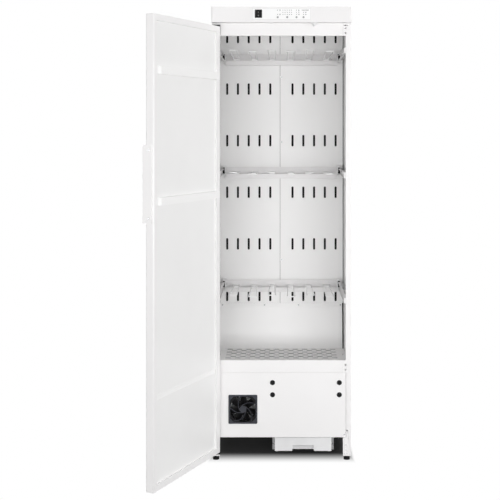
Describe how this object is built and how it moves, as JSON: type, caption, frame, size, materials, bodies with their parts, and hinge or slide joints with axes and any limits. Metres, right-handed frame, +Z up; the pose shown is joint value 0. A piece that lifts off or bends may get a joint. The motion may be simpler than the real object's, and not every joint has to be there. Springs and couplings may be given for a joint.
{
  "type": "drying cabinet",
  "caption": "Tall white drying cabinet with a hinged door, pull-out hanging racks, a heat-pump compartment and a water container.",
  "frame": {"origin": "on the floor, under the middle of the casing", "axes": "+Z up, -Y towards the door side, +X to the right as seen from the front"},
  "size_m": [0.8248, 1.1693, 1.938],
  "materials": {
    "casing_white": "smooth powder coat",
    "chamber_white": "smooth powder coat",
    "black_plastic": "fine grain",
    "panel_white": "satin film",
    "board_green": "solder mask",
    "dark_gray_plastic": "fine grain",
    "zinc_sheet": "zinc plated",
    "black_paint": "semi-gloss",
    "fin_aluminium": "mill finish",
    "copper": "bare copper",
    "gray_plastic": "satin",
    "container_white": "translucent satin",
    "hinge_black": "fine texture",
    "screw_steel": "zinc plated",
    "handle_white": "smooth powder coat",
    "wire_white": "smooth powder coat",
    "magnet_gray": "matt",
    "button_gray": "satin",
    "plunger_white": "satin"
  },
  "bodies": {
    "cabinet": {"side_panel_left": "casing_white", "side_panel_right": "casing_white", "back_panel": "chamber_white", "top_panel": "casing_white", "front_lintel": "casing_white", "top_cap": "casing_white", "control_panel": "panel_white", "control_board": "board_green", "switch_housings": "black_plastic", "slotted_wall_left": "chamber_white", "slotted_wall_right": "chamber_white", "lower_back_panel": "chamber_white", "chamber_ceiling": "chamber_white", "perforated_floor": "chamber_white", "front_lip": "casing_white", "service_panel": "casing_white", "panel_plugs": "black_plastic", "fan_grille": "dark_gray_plastic", "cooling_fan_housing": "black_plastic", "machine_base": "zinc_sheet", "compressor": "black_paint", "evaporator": "fin_aluminium", "condenser": "fin_aluminium", "circulation_fan_housing": "zinc_sheet", "refrigerant_pipes": "copper", "drain_tray": "gray_plastic", "container_runners": "gray_plastic", "rack_rails": "chamber_white", "hinge_brackets": "hinge_black", "fixing_screws": "screw_steel", "cable_gland": "black_plastic"},
    "door": {"door_skin": "casing_white", "door_inner_panels": "chamber_white", "door_stiffeners": "chamber_white", "hinge_bushes": "black_plastic", "door_handle": "handle_white", "handle_screws": "screw_steel", "door_magnets": "magnet_gray"},
    "lower_rack": {"rack_bar_lower": "chamber_white", "rack_rods_lower": "wire_white", "rack_gliders_lower": "black_plastic"},
    "middle_rack": {"rack_bar_middle": "chamber_white", "rack_rods_middle": "wire_white", "rack_gliders_middle": "black_plastic"},
    "upper_rack": {"rack_bar_upper": "chamber_white", "rack_rods_upper": "wire_white", "rack_gliders_upper": "black_plastic"},
    "container": {"water_container": "container_white"},
    "rocker": {"rocker_switch": "black_plastic"},
    "key_1": {"button_1": "button_gray"},
    "key_2": {"button_2": "button_gray"},
    "key_3": {"button_3": "button_gray"},
    "key_4": {"button_4": "button_gray"},
    "door_switch": {"door_switch_plunger": "plunger_white"},
    "cooling_rotor": {"cooling_fan_rotor": "dark_gray_plastic"},
    "circulation_wheel": {"circulation_fan_wheel": "dark_gray_plastic"},
    "levelling_foot_front_left": {"foot_front_left": "black_plastic"},
    "levelling_foot_front_right": {"foot_front_right": "black_plastic"},
    "levelling_foot_rear_left": {"foot_rear_left": "black_plastic"},
    "levelling_foot_rear_right": {"foot_rear_right": "black_plastic"}
  },
  "joints": [
    {"name": "door_swing", "type": "hinge", "parent": "cabinet", "child": "door", "pos_m": [-0.2815, -0.3185, 0.948], "axis": [0, 0, -1], "range_deg": [-112, 8]},
    {"name": "lower_rack_slide", "type": "slide", "parent": "cabinet", "child": "lower_rack", "axis": [0, -1, 0], "range_m": [0, 0.4]},
    {"name": "middle_rack_slide", "type": "slide", "parent": "cabinet", "child": "middle_rack", "axis": [0, -1, 0], "range_m": [0, 0.4]},
    {"name": "upper_rack_slide", "type": "slide", "parent": "cabinet", "child": "upper_rack", "axis": [0, -1, 0], "range_m": [0, 0.4]},
    {"name": "container_slide", "type": "slide", "parent": "cabinet", "child": "container", "axis": [0, -1, 0], "range_m": [0, 0.3]},
    {"name": "rocker_tilt", "type": "hinge", "parent": "cabinet", "child": "rocker", "pos_m": [-0.0973, -0.333, 1.908], "axis": [-1, 0, 0], "range_deg": [0, 14]},
    {"name": "key_1_press", "type": "slide", "parent": "cabinet", "child": "key_1", "axis": [0, 1, 0], "range_m": [0, 0.0007], "stiffness_N_per_m": 1500},
    {"name": "key_2_press", "type": "slide", "parent": "cabinet", "child": "key_2", "axis": [0, 1, 0], "range_m": [0, 0.0007], "stiffness_N_per_m": 1500},
    {"name": "key_3_press", "type": "slide", "parent": "cabinet", "child": "key_3", "axis": [0, 1, 0], "range_m": [0, 0.0007], "stiffness_N_per_m": 1500},
    {"name": "key_4_press", "type": "slide", "parent": "cabinet", "child": "key_4", "axis": [0, 1, 0], "range_m": [0, 0.0007], "stiffness_N_per_m": 1500},
    {"name": "door_switch_press", "type": "slide", "parent": "cabinet", "child": "door_switch", "axis": [0, 0, 1], "range_m": [0, 0.005], "stiffness_N_per_m": 200},
    {"name": "cooling_fan_spin", "type": "hinge", "parent": "cabinet", "child": "cooling_rotor", "pos_m": [-0.165, -0.275, 0.218], "axis": [0, 1, 0], "continuous": true},
    {"name": "circulation_fan_spin", "type": "hinge", "parent": "cabinet", "child": "circulation_wheel", "pos_m": [0.15, 0.13, 0.2], "axis": [0, 0, 1], "continuous": true},
    {"name": "front_left_foot_turn", "type": "hinge", "parent": "cabinet", "child": "levelling_foot_front_left", "pos_m": [-0.2808, -0.2773, 0.01], "axis": [0, 0, 1], "continuous": true},
    {"name": "front_right_foot_turn", "type": "hinge", "parent": "cabinet", "child": "levelling_foot_front_right", "pos_m": [0.2808, -0.2773, 0.01], "axis": [0, 0, 1], "continuous": true},
    {"name": "rear_left_foot_turn", "type": "hinge", "parent": "cabinet", "child": "levelling_foot_rear_left", "pos_m": [-0.2808, 0.2773, 0.01], "axis": [0, 0, 1], "continuous": true},
    {"name": "rear_right_foot_turn", "type": "hinge", "parent": "cabinet", "child": "levelling_foot_rear_right", "pos_m": [0.2808, 0.2773, 0.01], "axis": [0, 0, 1], "continuous": true}
  ]
}
